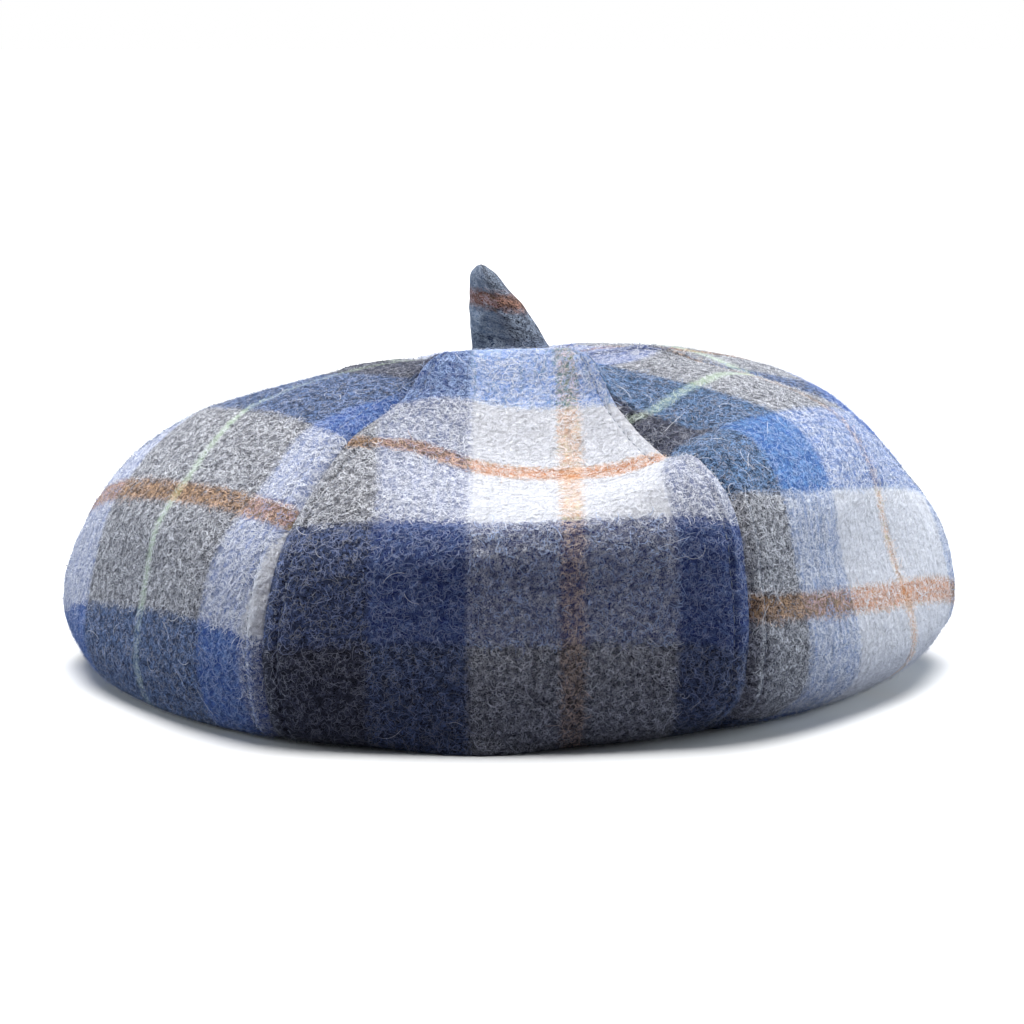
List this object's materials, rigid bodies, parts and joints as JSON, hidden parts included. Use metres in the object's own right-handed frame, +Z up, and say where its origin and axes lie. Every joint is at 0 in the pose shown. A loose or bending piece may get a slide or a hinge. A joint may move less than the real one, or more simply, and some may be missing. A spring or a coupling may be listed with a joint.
{
  "type": "tam o shanter",
  "caption": "Soft round cap of brushed plaid wool, sewn from wedge-shaped gores around a short cloth stem, lying on its turned-under brim with an open head hollow.",
  "frame": {"origin": "middle of the hat's box, on the surface that its brim rests on", "axes": "+Z up through the crown to the stem, -Y towards the pictured front gore, +X to the picture's right"},
  "size_m": [0.2854, 0.266, 0.1267],
  "materials": {
    "plaid_wool": "brushed, matte",
    "stem_wool": "brushed, matte"
  },
  "bodies": {
    "root": {"gore_front": "plaid_wool", "gore_front_right": "plaid_wool", "gore_back_right": "plaid_wool", "gore_back": "plaid_wool", "gore_back_left": "plaid_wool", "gore_front_left": "plaid_wool", "stem": "stem_wool"}
  },
  "joints": []
}
